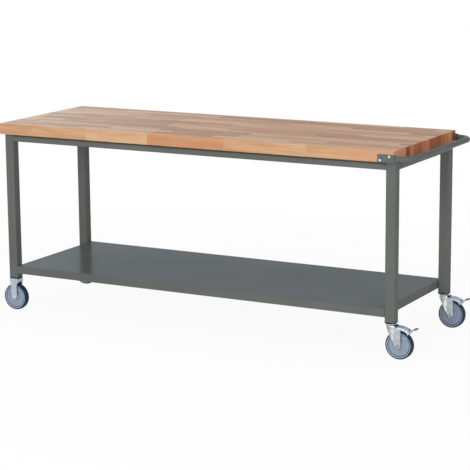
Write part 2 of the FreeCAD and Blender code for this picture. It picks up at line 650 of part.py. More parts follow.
def make_brake(corner, x, y):
    """Brake cover, turned about the axle, and the pedal that pivots in its ears."""
    axle_x = f"({x} + swivel_offset)"
    cover = new_body(f"{corner}_brake_cover")
    sketch = new_sketch(cover, "XY_Plane")
    side = f"({fork_inside} - running_gap)"
    outer, lining = [("cover_rim", side)], [("cover_rim", f"({side} - cover_wall)")]
    for lean in (0, 30, 60, 90):
        for outline, round_size in ((outer, "cover_round"), (lining, "(cover_round - cover_wall)")):
            outline.append((f"cover_crown - cover_round + {round_size} * sin({lean})",
                            f"({side} - cover_round + {round_size} * cos({lean}))"))
    draw_outline(sketch, outer + [(r, f"-{w}") for r, w in reversed(outer)]
                 + [(r, f"-{w}") for r, w in lining] + lining[::-1])
    revolve(cover, sketch, angle="cover_sweep", reverse=True)
    notch = new_sketch(cover, "XY_Plane")
    draw_box(notch, "cover_rim - 1", "-cover_notch_width / 2", "cover_crown + 1", "cover_notch_width / 2")
    revolve(cover, notch, "Groove", angle="cover_notch", reverse=True)
    holes = new_sketch(cover, "XZ_Plane")
    lean = "(pivot_angle - cover_start)"
    draw_circle(holes, f"pivot_radius * cos({lean})", f"pivot_radius * sin({lean})", "pin_radius + running_gap")
    cut(cover, holes, symmetric=True)
    keep(cover, axle_x, y, axle_height, (0, 1, 0), -value("cover_start"))

    pivot_x = "(swivel_offset + pivot_radius * cos(pivot_angle))"
    pivot_z = f"({axle_height} + pivot_radius * sin(pivot_angle))"
    pin = new_body(f"{corner}_pedal_pin")
    sketch = new_sketch(pin, "XY_Plane")
    shoulder = f"({side} + side_gap)"
    end = f"({shoulder} + pin_head_height)"
    draw_outline(sketch, [(0, f"-{end}"), ("pin_head", f"-{end}"), ("pin_head", f"-{shoulder}"),
                          ("pin_radius", f"-{shoulder}"), ("pin_radius", shoulder), ("pin_head", shoulder),
                          ("pin_head", end), (0, end)])
    revolve(pin, sketch)
    keep(pin, f"{x} + {pivot_x}", y, pivot_z)

    # The pedal's strip leaves the boss steeply and flattens out towards the tip
    reach = f"(pedal_reach - {pivot_x})"
    rise = f"(pedal_tip_height - pad_thickness - {pivot_z})"
    pedal = new_body(f"{corner}_pedal")
    sketch = new_sketch(pedal, "XZ_Plane")
    lower = [(-1.2, "-pedal_heel"), (6, -2), (f"{reach} * 0.36", f"{rise} * 0.36"),
             (f"{reach} * 0.62", f"{rise} * 0.66"), (reach, f"{rise} - pedal_sheet")]
    upper = [(reach, rise), (f"{reach} * 0.6", f"{rise} * 0.66 + pedal_sheet"),
             (f"{reach} * 0.29", f"{rise} * 0.36 + pedal_sheet"), (0.5, 4.5), (-5, -2), (-4.5, "1.2 - pedal_heel")]
    draw_outline(sketch, lower + upper)
    pad(pedal, sketch, "pedal_width", symmetric=True)
    boss = new_sketch(pedal, "XZ_Plane")
    draw_circle(boss, 0, 0, "pedal_boss")
    pad(pedal, boss, "pedal_width", symmetric=True)
    bore = new_sketch(pedal, "XZ_Plane")
    draw_circle(bore, 0, 0, "pin_radius + running_gap")
    cut(pedal, bore, symmetric=True)
    keep(pedal, f"{x} + {pivot_x}", y, pivot_z)

    tread = new_body(f"{corner}_pedal_pad")
    sketch = new_sketch(tread, "XZ_Plane")
    back = f"({reach} - pad_length)"
    slope = f"(({rise} * 0.34 - pedal_sheet) / ({reach} * 0.4))"
    drop = f"({rise} - pad_length * {slope})"
    draw_outline(sketch, [(back, drop), (reach, rise), (reach, f"{rise} + pad_thickness"),
                          (back, f"{drop} + pad_thickness")])
    pad(tread, sketch, "pedal_width", symmetric=True)
    keep(tread, f"{x} + {pivot_x}", y, pivot_z)


make_worktop()
for corner, (x, y) in corners.items():
    make_leg(corner, x, y)
make_rails()
make_shelf()
make_channel()
make_handle()
make_screws()
for corner, (x, y) in corners.items():
    make_plug(corner, x, y)
make_caster_bolts()
for corner, (x, y) in corners.items():
    swivels = corner.endswith("right")
    axle_x = f"({x} + swivel_offset)" if swivels else x
    make_wheel(corner, axle_x, y)
    make_axle(corner, axle_x, y)
    if swivels:
        make_swivel_fork(corner, x, y)
        make_upper_race(corner, x, y)
        make_swivel_balls(corner, x, y)
        make_brake(corner, x, y)
    else:
        make_fixed_fork(corner, x, y)
doc.recompute()

for thing in doc.Objects:
    if "Invalid" in thing.State or "Error" in thing.State:
        raise RuntimeError(f"{thing.Label} failed: {thing.State}")
for thing in parts:
    if thing.Shape.isNull() or not thing.Shape.isValid():
        raise RuntimeError(f"{thing.Label} has no valid shape")

os.makedirs("parts", exist_ok=True)
for thing in parts:
    thing.Shape.exportStep(f"parts/{thing.Label}.step")
print(f"{len(parts)} sub-parts written")
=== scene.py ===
import json
import math

import bpy
import numpy as np
from mathutils import Matrix, Vector


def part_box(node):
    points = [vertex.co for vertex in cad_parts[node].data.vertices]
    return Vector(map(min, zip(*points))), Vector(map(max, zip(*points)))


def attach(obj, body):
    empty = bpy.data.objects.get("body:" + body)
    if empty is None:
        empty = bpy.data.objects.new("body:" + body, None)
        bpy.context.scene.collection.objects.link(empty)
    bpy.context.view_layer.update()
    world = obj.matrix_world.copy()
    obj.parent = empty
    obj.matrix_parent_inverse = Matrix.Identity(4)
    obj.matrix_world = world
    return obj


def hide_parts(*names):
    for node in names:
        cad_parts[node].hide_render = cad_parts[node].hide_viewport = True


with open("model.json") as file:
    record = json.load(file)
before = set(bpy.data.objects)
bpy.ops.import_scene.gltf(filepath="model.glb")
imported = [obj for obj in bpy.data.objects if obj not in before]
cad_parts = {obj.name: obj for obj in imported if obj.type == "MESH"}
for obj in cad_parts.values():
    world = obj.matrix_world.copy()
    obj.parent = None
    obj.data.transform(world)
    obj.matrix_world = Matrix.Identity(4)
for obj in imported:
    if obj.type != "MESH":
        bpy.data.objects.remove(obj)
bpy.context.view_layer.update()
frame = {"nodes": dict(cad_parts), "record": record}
print("frame loaded:", len(frame["nodes"]), "pieces")

swivelCorners = ("front_right", "rear_right")
corners = ("front_left", "rear_left", *swivelCorners)
sides = ("front", "rear", "left", "right")


def camel(corner):  # front_right as FrontRight
    return corner.title().replace("_", "")


def srgb(red, green, blue):  # screen values 0 to 255 as linear light
    screen = np.array([red, green, blue]) / 255
    light = np.where(screen <= 0.04045, screen / 12.92, ((screen + 0.055) / 1.055) ** 2.4)
    return (*light.tolist(), 1.0)


class Flow:  # a socket that can be reckoned with; each sum adds its Math node
    def __init__(self, tree, link=None):
        self.tree, self.link = tree, link

    def node(self, kind, settings=None, sockets=None, out=0):  # any node: type, settings, then sockets
        made = self.tree.nodes.new(kind)
        for name, setting in (settings or {}).items():
            if name == "stops":
                stops = made.color_ramp.elements
                while len(stops) < len(setting):
                    stops.new(0.5)
                for stop, (place, colour) in zip(stops, setting):
                    stop.position, stop.color = place, colour
            else:
                setattr(made, name, setting)
        for name, given in (sockets or {}).items():
            if isinstance(given, Flow):
                self.tree.links.new(given.link, made.inputs[name])
            else:
                made.inputs[name].default_value = given
        return Flow(self.tree, made.outputs[out])

    def maths(self, operation, *others):
        return self.node("ShaderNodeMath", {"operation": operation}, dict(enumerate((self, *others))))

    def __add__(self, other):
        return self.maths("ADD", other)

    def __mul__(self, other):
        return self.maths("MULTIPLY", other)

    def __sub__(self, other):
        return self.maths("SUBTRACT", other)

    def __rsub__(self, other):
        return self.maths("MULTIPLY", -1.0) + other

    def __truediv__(self, other):
        return self.maths("DIVIDE", other)

    def __gt__(self, other):
        return self.maths("GREATER_THAN", other)

    def __lt__(self, other):
        return self.maths("LESS_THAN", other)

    __radd__ = __add__
    __rmul__ = __mul__

    def floor(self):
        return self.maths("FLOOR")

    def part(self):
        return self.maths("FRACT")

    def size(self):
        return self.maths("ABSOLUTE")

    def smaller(self, other):
        return self.maths("MINIMUM", other)

    def larger(self, other):
        return self.maths("MAXIMUM", other)

    def choose(self, off, on):  # values, with self as the switch
        return off + self * (on - off)

    def between(self, low, high, first=0.0, last=1.0):  # smooth step from first to last
        return self.node("ShaderNodeMapRange", {"interpolation_type": "SMOOTHSTEP"},
                         {0: self, 1: low, 2: high, 3: first, 4: last})

    def mix(self, first, second):  # colours, with self as the factor
        return self.node("ShaderNodeMix", {"data_type": "RGBA"}, {0: self, 6: first, 7: second}, 2)

    def ramp(self, *stops):
        return self.node("ShaderNodeValToRGB", {"stops": stops}, {0: self})


def startMaterial(name):
    material = bpy.data.materials.new(name)
    material.use_nodes = True
    return material, material.node_tree.nodes["Principled BSDF"], Flow(material.node_tree)


def objectSpot(flow):
    return flow.node("ShaderNodeTexCoord", out="Object")


def split(flow, whole):  # a vector as three values
    parts = flow.node("ShaderNodeSeparateXYZ", None, {0: whole}).link.node.outputs
    return [Flow(flow.tree, part) for part in parts]


def vector(flow, x, y, z):
    return flow.node("ShaderNodeCombineXYZ", None, {0: x, 1: y, 2: z})


def noise(flow, where, scale, detail=3.0, roughness=0.5):
    return flow.node("ShaderNodeTexNoise", None,
                     {"Vector": where, "Scale": scale, "Detail": detail, "Roughness": roughness})


def chance(flow, number):  # a random value for each number
    return flow.node("ShaderNodeTexWhiteNoise", {"noise_dimensions": "1D"}, {"W": number})


def bump(flow, height, strength, distance):
    return flow.node("ShaderNodeBump", None, {"Height": height, "Strength": strength, "Distance": distance})


def feed(flow, shader, **links):  # joins flows to the shader, constants straight to its sockets
    for name, given in links.items():
        socket = shader.inputs[name.replace("_", " ")]
        if isinstance(given, Flow):
            flow.tree.links.new(given.link, socket)
        else:
            socket.default_value = given


# Worktop
beechLook = {
    "lamellae": 16, "width": 0.7, "margin": 0.001,
    "staveLength": 0.36, "staveStart": 9.0, "unevenStaves": 0.9, "unevenAlong": 1.7, "unevenAcross": 3.1,
    "frontJoints": [-0.851, -0.554, -0.229, 0.160, 0.560],  # where staves meet along the front edge
    "frontTones": [0.75, 0.80, 1.1, 0.58, 0.78, 0.76], "frontAmber": [0.0, 0.0, 0.0, 0.16, 0.0, 0.02],
    "tones": [(0.0, srgb(152, 108, 78)), (0.28, srgb(190, 143, 102)), (0.6, srgb(214, 169, 125)),
              (1.0, srgb(238, 206, 160))],
    "rosy": [(0.0, srgb(150, 98, 74)), (0.28, srgb(190, 132, 98)), (0.6, srgb(217, 159, 122)),
             (1.0, srgb(234, 188, 150))],
    "endTones": [(0.0, srgb(110, 58, 36)), (0.45, srgb(160, 94, 58)), (0.75, srgb(182, 118, 78)),
                 (1.0, srgb(204, 150, 108))],
    # the pale tone towards the left end is a painted sheen for grazing reflection, not the wood's own colour
    "vein": srgb(138, 86, 58), "seam": srgb(104, 66, 46), "paintedSheen": srgb(240, 210, 186),
    "amber": srgb(224, 101, 0), "rosiness": 0.6,
    "hueScramble": 7.3, "shiftScramble": 31.0, "slantScramble": 13.7, "endScramble": 0.37,  # further draws
    "staveContrast": 0.58, "grainContrast": 0.90, "darker": 0.24,
    "paleFrom": 0.1, "paleTo": -1.0, "paintedSheenShare": 0.3, "spread": 0.7, "spreadAbout": 0.36,
    "broad": (1.8, 52.0, 4.0, 0.6),  # grain: steps per metre along and across, detail, roughness
    "fine": (9.0, 260.0, 3.0, 0.65), "fleck": (110.0, 900.0, 1.0, 0.5),
    "slant": 9.0, "veinStep": (0.35, 0.75), "veins": 0.24, "fleckStep": (0.62, 0.72), "flecks": 0.16,
    "endStep": (0.6, 0.8), "heartFrom": 0.2, "heartSpread": 0.6, "heartHeight": 0.83, "heartRise": 0.03,
    "ringFlat": 0.0012, "ringPitch": 2600.0, "rings": 0.07, "wanderPitch": 60.0, "wander": 3.0,
    "porePitch": 1500.0, "pores": 0.2, "endContrast": 0.85, "endDarker": 0.06,
    "seamAcross": (0.488, 0.499), "seamAlong": (0.4975, 0.4995), "seamFront": (0.0004, 0.0012), "seams": 0.35,
    "roughness": 0.40, "fineRough": 0.16, "endRough": 0.15, "shine": 0.25,
    "fineRelief": 0.6, "fleckRelief": 0.4, "seamRelief": 1.5, "bump": (0.25, 0.0004),
}


def staveSteps(x, joints, values):  # the first value, and a step to the next one at each joint
    level = values[0]
    for joint, step in zip(joints, np.diff(values).tolist()):
        level = (x > joint) * step + level
    return level


def makeBeech():
    # Lamellae are whole steps across the top; in each, staves are whole steps along it, begun at a random
    # place and of uneven length. Each stave draws a tone, a hue and the slant of its grain; the front
    # lamella has its own joints and tones. Towards its left end the top turns paler, a painted sheen for the
    # reflection at grazing angles, and its tones spread, by a smooth step. Grain is noise drawn out along the
    # stave. The ends show growth rings, a sine of the distance from a random heart near the underside of each
    # lamella.
    look = beechLook
    material, shader, flow = startMaterial("beech")
    spot = objectSpot(flow)
    x, y, z = split(flow, spot)
    across = (y + look["width"] / 2) * (look["lamellae"] / look["width"])
    across = across.larger(look["margin"]).smaller(look["lamellae"] - look["margin"])
    lamella = across.floor()
    unevenSpot = vector(flow, x * look["unevenAlong"], lamella * look["unevenAcross"], 0.0)
    uneven = noise(flow, unevenSpot, 1.0, 0.0) * look["unevenStaves"]
    along = x / look["staveLength"] + chance(flow, lamella) * look["staveStart"] + uneven
    draw = flow.node("ShaderNodeTexWhiteNoise", {"noise_dimensions": "3D"},
                     {"Vector": vector(flow, lamella, along.floor(), 0.5)})
    hue = (draw * look["hueScramble"]).part()

    front = lamella < 0.5
    joints = look["frontJoints"]
    frontTone = staveSteps(x, joints, look["frontTones"])
    amber = staveSteps(x, joints, look["frontAmber"])
    frontGap = (x - joints[0]).size()
    for joint in joints[1:]:
        frontGap = frontGap.smaller((x - joint).size())
    seed = front.choose(draw, frontTone)
    # share towards the left end: it sets the painted sheen and the spread of tones
    leftwards = x.between(look["paleFrom"], look["paleTo"])
    vivid = (draw - look["spreadAbout"]) * (leftwards * look["spread"] + 1.0) + look["spreadAbout"]
    draw = front.choose(vivid, frontTone)

    def grain(name, shift=0.0, slant=0.0):
        lengthwise, crosswise, detail, roughness = look[name]
        where = vector(flow, x * lengthwise + shift, y * crosswise + slant, z * crosswise + slant)
        return noise(flow, where, 1.0, detail, roughness)

    shift = seed * look["shiftScramble"]
    slant = x * ((seed * look["slantScramble"]).part() - 0.5) * look["slant"]
    broad, fine = grain("broad", shift, slant), grain("fine", shift)
    fleck = grain("fleck").between(*look["fleckStep"])
    level = draw * look["staveContrast"] + broad * look["grainContrast"] - look["darker"]
    tone = (hue * look["rosiness"]).mix(level.ramp(*look["tones"]), level.ramp(*look["rosy"]))
    # painted sheen: the top is mixed towards a pale tone towards its left end, for grazing reflection
    tone = (leftwards * (1 - front) * look["paintedSheenShare"]).mix(tone, look["paintedSheen"])
    tone = (front * amber).mix(tone, look["amber"])
    veined = fine.between(*look["veinStep"]) * look["veins"] + fleck * look["flecks"]
    grained = veined.mix(tone, look["vein"])

    normal = flow.node("ShaderNodeTexCoord", out="Normal")
    endFace = split(flow, normal)[0].size().between(*look["endStep"])
    heart = across.part() - look["heartFrom"] - draw * look["heartSpread"]
    drop = z - look["heartHeight"] - draw * look["heartRise"]
    reach = (heart * heart * look["ringFlat"] + drop * drop).maths("SQRT")
    wander = noise(flow, spot, look["wanderPitch"]) * look["wander"]
    rings = (reach * look["ringPitch"] + wander).maths("SINE") * look["rings"]
    pores = noise(flow, spot, look["porePitch"], 2.0) * look["pores"]
    endDraw = chance(flow, lamella + look["endScramble"]) * look["endContrast"]
    endTone = (endDraw + rings + pores - look["endDarker"]).ramp(*look["endTones"])

    seamAcross = (across.part() - 0.5).size().between(*look["seamAcross"])
    seamAlong = (along.part() - 0.5).size().between(*look["seamAlong"])
    seamAlong = front.choose(seamAlong, frontGap.between(*look["seamFront"], 1.0, 0.0))
    seam = seamAcross.larger(seamAlong) * look["seams"]
    colour = seam.mix(endFace.mix(grained, endTone), look["seam"])
    relief = fine * look["fineRelief"] - fleck * look["fleckRelief"] - seam * look["seamRelief"]
    feed(flow, shader, Base_Color=colour, Specular_IOR_Level=look["shine"],
         Roughness=look["roughness"] + fine * look["fineRough"] + endFace * look["endRough"],
         Normal=bump(flow, relief, *look["bump"]))
    return material


# Frame, shelf and handle
paintLook = {
    "tones": [(0.3, srgb(84, 88, 86)), (0.5, srgb(93, 97, 94)), (0.72, srgb(100, 104, 101))],
    "cloudPitch": 2.2, "cloudShare": 0.55, "speckPitch": 2400.0, "speckShare": 0.45,
    # painted shadow of the worktop's overhang: its colour, the heights it spans and its strength on the rails
    "paintedShadow": srgb(58, 46, 38), "paintedShadowFrom": 0.833, "paintedShadowTo": 0.844, "railPaintedShadow": 0.75,
    "roughness": 0.16, "peelPitch": 620.0, "peelRough": 0.10, "shine": 0.018, "bump": (0.05, 0.0004),
}


def makePaint(name, shadowStrength):
    # Powder coat: a slow cloud of tone over metres, a fast one over millimetres, and an orange-peel bump.
    # Painted shadow: where it is asked for, a smooth step of the height darkens the paint right under the
    # worktop, where the worktop's overhang casts its shadow.
    look = paintLook
    material, shader, flow = startMaterial(name)
    spot = objectSpot(flow)
    height = split(flow, spot)[2]
    cloud = noise(flow, spot, look["cloudPitch"], 2.0)
    peel = noise(flow, spot, look["peelPitch"], 2.0, 0.4)
    speck = noise(flow, spot, look["speckPitch"], 1.0)
    tone = (cloud * look["cloudShare"] + speck * look["speckShare"]).ramp(*look["tones"])
    # painted shadow: darker by height just under the worktop, where the overhang's shadow falls
    tone = height.between(look["paintedShadowFrom"], look["paintedShadowTo"], 0.0, shadowStrength).mix(tone, look["paintedShadow"])
    feed(flow, shader, Base_Color=tone, Roughness=look["roughness"] + peel * look["peelRough"],
         Specular_IOR_Level=look["shine"], Normal=bump(flow, peel, *look["bump"]))
    return material


# Casters and fasteners
zincLook = {
    "zincPlate": (srgb(202, 211, 218), srgb(183, 193, 202), 0.18),  # pale and dull tone, least roughness
    "forkPlate": (srgb(190, 194, 193), srgb(172, 177, 177), 0.14),
    "coverPlate": (srgb(186, 196, 203), srgb(164, 174, 182), 0.40),
    "axlePlate": (srgb(152, 156, 156), srgb(134, 139, 140), 0.46),
    "cloudPitch": 55.0, "cloudStep": (0.3, 0.7), "cloudRough": 0.14,
    "grainPitch": 900.0, "grainRough": 0.08, "bump": (0.06, 0.0003),
}


def makeZinc(name):
    # Zinc plate: pale metal, clouded by slow noise and dulled by fine noise in the roughness.
    look = zincLook
    pale, dull, rough = look[name]
    material, shader, flow = startMaterial(name)
    spot = objectSpot(flow)
    cloud = noise(flow, spot, look["cloudPitch"], 4.0, 0.6)
    grain = noise(flow, spot, look["grainPitch"], 2.0)
    feed(flow, shader, Base_Color=cloud.between(*look["cloudStep"]).mix(dull, pale), Metallic=1.0,
         Roughness=rough + cloud * look["cloudRough"] + grain * look["grainRough"],
         Normal=bump(flow, grain, *look["bump"]))
    return material


mouldedLook = {
    "plugPlastic": (srgb(8, 8, 9), srgb(15, 15, 16), 0.54, 0.3),  # two tones, least roughness, shine
    "bushPlastic": (srgb(196, 194, 186), srgb(210, 208, 200), 0.34, 0.3),
    "pedalPlastic": (srgb(72, 74, 76), srgb(86, 88, 90), 0.44, 0.3),
    "tyreRubber": (srgb(33, 46, 64), srgb(45, 60, 80), 0.54, 0.1),
    "corePlastic": (srgb(124, 137, 154), srgb(135, 148, 165), 0.38, 0.3),
    "cloudPitch": 38.0, "cloudShare": 0.6, "skinPitch": 1700.0, "skinShare": 0.4, "toneStep": (0.35, 0.65),
    "skinRough": 0.14, "bump": (0.1, 0.0003),
    "groove": srgb(84, 97, 114), "rim": srgb(152, 165, 180),  # rings on the cores, metres from the axle
    "grooveFrom": 0.0478, "grooveTo": 0.0512, "rimFrom": 0.0518,
}


def makeMoulded(name, ringed=False):
    # Moulded plastic or rubber: two near tones mixed by cloud and speck, with a fine eroded skin as bump. A
    # ringed one is darker in the groove and paler on the rim, by each point's own distance from the axle.
    look = mouldedLook
    first, second, rough, shine = look[name]
    material, shader, flow = startMaterial(name)
    spot = objectSpot(flow)
    cloud = noise(flow, spot, look["cloudPitch"], 3.0)
    skin = noise(flow, spot, look["skinPitch"], 2.0)
    mottled = cloud * look["cloudShare"] + skin * look["skinShare"]
    tone = mottled.between(*look["toneStep"]).mix(first, second)
    if ringed:
        reach = flow.node("ShaderNodeAttribute", {"attribute_name": "fromAxle"}, out="Fac")
        inGroove = (reach > look["grooveFrom"]) * (reach < look["grooveTo"])
        onRim = reach.between(look["grooveTo"], look["rimFrom"])
        tone = onRim.mix(inGroove.mix(tone, look["groove"]), look["rim"])
    feed(flow, shader, Base_Color=tone, Roughness=rough + skin * look["skinRough"],
         Specular_IOR_Level=shine, Normal=bump(flow, skin, *look["bump"]))
    return material


finishes = {
    "beech": makeBeech(), "frame_paint": makePaint("powderCoat", 0.0), "zinc_steel": makeZinc("zincPlate"),
    "plug_plastic": makeMoulded("plugPlastic"), "core_plastic": makeMoulded("corePlastic", ringed=True),
    "bush_plastic": makeMoulded("bushPlastic"), "pedal_plastic": makeMoulded("pedalPlastic"),
    "tyre_rubber": makeMoulded("tyreRubber"),
}
# the rails' coat carries the painted shadow under the worktop
railCoatPaintedShadow = makePaint("railCoatPaintedShadow", paintLook["railPaintedShadow"])
forkPlate, coverPlate, axlePlate = (makeZinc(name) for name in ("forkPlate", "coverPlate", "axlePlate"))
ownFinishes = {f"{side}_rail": railCoatPaintedShadow for side in sides}
for corner in swivelCorners:
    ownFinishes[f"{corner}_axle"] = axlePlate
    ownFinishes[f"{corner}_brake_cover"] = coverPlate
    ownFinishes[f"{corner}_pedal"] = coverPlate
for subpart in frame["record"]["subparts"]:
    mesh = frame["nodes"][subpart["node"]].data
    mesh.materials.clear()
    mesh.materials.append(ownFinishes.get(subpart["node"], finishes[subpart["material_slot"]]))


# Meshes from grids of points
def softened(outline, reach, steps=6, most=0.45):
    # Outline whose corners become quadratic curves: each starts and ends the given reach from its corner, or
    # at most that share of the shorter side.
    before, after = np.roll(outline, 1, 0) - outline, np.roll(outline, -1, 0) - outline
    back, ahead = (np.linalg.norm(side, axis=1, keepdims=True) for side in (before, after))
    cut = np.minimum(reach, most * np.minimum(back, ahead))
    first, last = (outline + before / back * cut)[:, None], (outline + after / ahead * cut)[:, None]
    t = np.linspace(0, 1, steps)[None, :, None]
    return ((1 - t) ** 2 * first + 2 * t * (1 - t) * outline[:, None] + t ** 2 * last).reshape(-1, 2)


def turned(outline, centre, steps=96):
    # Outline of (radius, width) turned about an axle along Y through the centre.
    angle = np.linspace(0, 2 * np.pi, steps, endpoint=False)[None, :]
    radius, width = outline[:, :1], outline[:, 1:]
    spots = np.stack([radius * np.cos(angle), width + 0 * angle, radius * np.sin(angle)], -1)
    return spots + np.array(centre)


def addPiece(name, grids, slot, body, replaced=None, capped=True, sharp=38.0, values=None):
    # Each grid's rows are closed loops of points. Neighbouring rows are joined by quads; the end rows are
    # capped, or joined to each other. A grid whose faces enclose a negative volume is turned inside out.
    spots, faces, first = [], [], 0
    for grid, ends in zip(grids, capped if isinstance(capped, list) else [capped] * len(grids)):
        rows, steps = grid.shape[:2]
        index = first + np.arange(rows * steps).reshape(rows, steps)
        run = index if ends else np.vstack([index, index[:1]])
        low, high = run[:-1], run[1:]
        quads = np.stack([low, np.roll(low, -1, 1), np.roll(high, -1, 1), high], -1).reshape(-1, 4)
        flat = grid.reshape(-1, 3)
        a, b, c, d = np.moveaxis((flat - flat.mean(0))[quads - first], 1, 0)
        volume = np.sum(a * np.cross(b, c)) + np.sum(a * np.cross(c, d))
        loops = quads.tolist() + ([index[0, ::-1].tolist(), index[-1].tolist()] if ends else [])
        faces += loops if volume > 0 else [loop[::-1] for loop in loops]
        spots.append(flat)
        first += len(flat)
    mesh = bpy.data.meshes.new(name)
    mesh.from_pydata(np.concatenate(spots), [], faces)
    mesh.polygons.foreach_set("use_smooth", np.ones(len(mesh.polygons), bool))
    mesh.set_sharp_from_angle(angle=math.radians(sharp))
    if values is not None:
        mesh.attributes.new("fromAxle", "FLOAT", "POINT").data.foreach_set("value", values)
    mesh.materials.append(finishes[slot])
    piece = bpy.data.objects.new(name, mesh)
    bpy.context.scene.collection.objects.link(piece)
    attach(piece, body)
    if replaced:
        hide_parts(replaced)
    return piece


# Wheels
wheelLook = {  # half outlines in millimetres: radius, distance from the middle plane
    "tyre": [(55.5, 14.3), (56.1, 15.9), (58.2, 15.9), (60.9, 13.6), (62.3, 9.0), (62.5, 3.0)],
    "core": [(9.0, 20.0), (14.0, 20.0), (15.4, 11.5), (17.5, 10.4), (29.5, 10.4), (31.2, 12.5), (46.6, 12.5),
             (48.0, 10.0), (51.0, 10.0), (52.0, 14.4), (55.5, 14.4)],
    "tyreReach": 1.6, "coreReach": 0.8,
}


def makeWheels():
    # A half outline and its mirror image, with softened corners, turned about the axle.
    for corner in corners:
        centre = np.mean(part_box(f"{corner}_tyre"), axis=0)
        for part, node, slot in (("tyre", "tyre", "tyre_rubber"), ("core", "wheel_core", "core_plastic")):
            half = np.array(wheelLook[part]) / 1000
            outline = softened(np.vstack([half, half[::-1] * (1, -1)]), wheelLook[f"{part}Reach"] / 1000)
            grid = turned(outline, centre)
            addPiece(f"{part}{camel(corner)}", [grid], slot, f"{corner}_wheel", f"{corner}_{node}",
                     capped=False, values=np.repeat(outline[:, 0], grid.shape[1]))


# Swivel forks
forkLook = {  # millimetres from the swivel axis and the floor
    "half": 23.3, "front": 23.3, "flatFrom": 22.0, "nose": 1.5, "noseSteps": 97, "sheet": 3.0, "edge": 0.4,
    "axle": (40.0, 62.5), "toe": 12.0, "toeFrom": 29.85, "toeStep": 0.05, "toeSteps": 22, "cheekSteps": 14,
    "rake": ((-23.3, 139.0), (33.2, 50.5)), "slope": ((26.8, 144.0), (34.0, 139.0), (52.0, 130.0)),
    "riseSteps": 10, "bend": 4.0, "bendLean": 0.05, "bendSteps": 7, "wallDrop": 0.8,
    "lipEnd": 21.0, "lipSink": 0.02, "lipEdge": 0.3, "lipIn": 0.6, "lipDown": 0.65,  # the last two per bend
    "roofEnd": 26.8, "roofUnder": 145.1, "roofOver": 147.9, "roofLap": 0.3, "roofSteps": 24,
    "track": (11.8, 17.2), "trackFloor": 146.3, "hole": 6.1,
}
shinyForks = bpy.data.collections.new("shinyForks")


def forkPlan(look):
    # In plan the sheet is a U whose front is half a superellipse, |a|^n + |b|^n = 1. Each of its points has a
    # place and a direction to the inside, at right angles to the curve.
    half, reach, toe = look["half"], look["flatFrom"] + look["front"], look["toe"]
    axleX = look["axle"][0]
    toeEnd = np.arcsin((look["toeFrom"] + look["toeStep"] - axleX) / toe)
    toeRun = axleX + toe * np.sin(np.linspace(np.pi / 2, toeEnd, look["toeSteps"]))
    straight = np.linspace(look["toeFrom"] - look["toeStep"], look["flatFrom"], look["cheekSteps"])
    cheek = np.concatenate([toeRun, straight])
    turn = np.linspace(0, np.pi, look["noseSteps"])[1:-1]
    power = 2 / look["nose"]
    ahead, aside = (np.sign(part) * np.abs(part) ** power for part in (np.sin(turn), np.cos(turn)))
    x = np.concatenate([cheek, look["flatFrom"] - reach * ahead, cheek[::-1]])
    y = np.concatenate([0 * cheek - half, -half * aside, 0 * cheek + half])
    lean = [np.sign(part) * np.abs(part) ** (look["nose"] - 1) for part in (ahead, aside)]
    noseSlant = np.arctan2(lean[0] / reach, lean[1] / half)
    slant = np.concatenate([0 * cheek, noseSlant, 0 * cheek + np.pi])
    return x, y, np.sin(slant), np.cos(slant)


def forkWall(look, x, y, inwardX, inwardY):
    # Round each point of the U runs a loop over the sheet's outer and inner face. It stands between two
    # heights: below, the raked edge that runs into an arc about the axle, and above, the crown or its slope,
    # where the sheet bends inwards by a quarter circle.
    sheet, edge, toe = look["sheet"], look["edge"], look["toe"]
    axleX, axleZ = look["axle"]
    (rakeX, rakeZ), (endX, endZ) = look["rake"]
    rake = rakeZ + (x - rakeX) * (endZ - rakeZ) / (endX - rakeX)
    arc = axleZ - np.sqrt(np.maximum(toe ** 2 - (x - axleX) ** 2, 0))
    low = np.where(x > look["toeFrom"], arc, rake)[:, None]
    high = np.interp(x, *np.transpose(look["slope"]))[:, None]
    bent = np.clip((look["roofEnd"] - x) / (look["roofEnd"] - look["lipEnd"]), 0, 1)
    lip = look["bend"] * bent[:, None]
    quarter = np.linspace(0, np.pi / 2, look["bendSteps"])[None, :]
    rise = np.linspace(0, 1, look["riseSteps"])[None, :]
    outer = low + edge + (high - edge - low - edge) * rise
    ones = np.ones_like(low)
    lipInset = sheet + lip * look["lipIn"]
    crown = high + lip
    inset = np.concatenate([edge * ones, 0 * outer, lip * (1 - np.cos(quarter)) + look["bendLean"] * quarter,
                            lipInset, lipInset, sheet * ones, sheet * ones, (sheet - edge) * ones], 1)
    height = np.concatenate([low, outer, high + lip * np.sin(quarter), crown - look["lipSink"],
                             crown - look["lipEdge"] - lip * look["lipDown"], high - look["wallDrop"],
                             low + edge, low], 1)
    wallX, wallY = (at[:, None] + inward[:, None] * inset for at, inward in ((x, inwardX), (y, inwardY)))
    return np.stack([wallX, wallY, height], -1)


def forkRoof(look, x, y):
    # Rows that start on the U's front, closed by a straight line behind, and shrink to circles about the
    # swivel axis: up over the edge, down into the ball track, and through the bolt's hole.
    half, end = look["half"], look["roofEnd"]
    inFront = x <= end
    across = np.linspace(half, -half, look["roofSteps"])[1:-1]
    plan = np.concatenate([np.stack([x, y], -1)[inFront], np.stack([0 * across + end, across], -1)])
    plan = plan * (1 - (look["bend"] - look["roofLap"]) / half)
    around = np.arctan2(plan[:, 1], plan[:, 0])
    circle = np.stack([np.cos(around), np.sin(around)], -1)
    under, over, floor, hole = (look[name] for name in ("roofUnder", "roofOver", "trackFloor", "hole"))
    inside, outside = look["track"]
    rows = [(plan, under), (plan, over), (circle * outside, over), (circle * outside, floor),
            (circle * inside, floor), (circle * inside, over), (circle * hole, over), (circle * hole, under)]
    return np.stack([np.concatenate([flat, 0 * flat[:, :1] + level], 1) for flat, level in rows])


